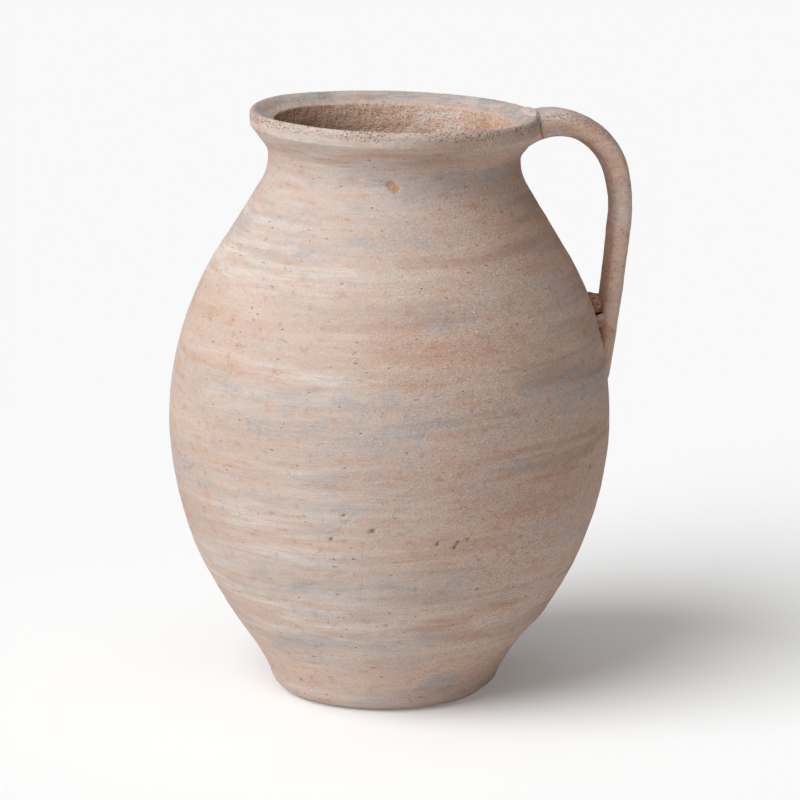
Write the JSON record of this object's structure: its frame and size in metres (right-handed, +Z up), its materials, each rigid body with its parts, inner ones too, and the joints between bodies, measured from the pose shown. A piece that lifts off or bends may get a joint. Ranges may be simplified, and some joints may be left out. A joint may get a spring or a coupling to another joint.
{
  "type": "ceramic pitcher",
  "caption": "Tall round-bellied unglazed terracotta pitcher with a narrow foot, short waisted neck, flared rim and one strap handle from the rim to the shoulder.",
  "frame": {"origin": "centre of the foot's underside, on the surface that the pitcher stands on", "axes": "+Z up, +X towards the handle, XZ is the plane of symmetry; the pot's own axis leans 1.1 degrees towards +X"},
  "size_m": [0.3243, 0.302, 0.4021],
  "materials": {
    "body_clay": "unglazed, streaked with a thin pale wash",
    "handle_clay": "unglazed, worn wash over orange clay",
    "wad_clay": "rough bare clay"
  },
  "bodies": {
    "root": {"base_disc": "body_clay", "lower_body": "body_clay", "upper_body": "body_clay", "neck_rim": "body_clay", "handle": "handle_clay", "upper_handle_wad": "handle_clay", "lower_handle_wad": "wad_clay"}
  },
  "joints": []
}
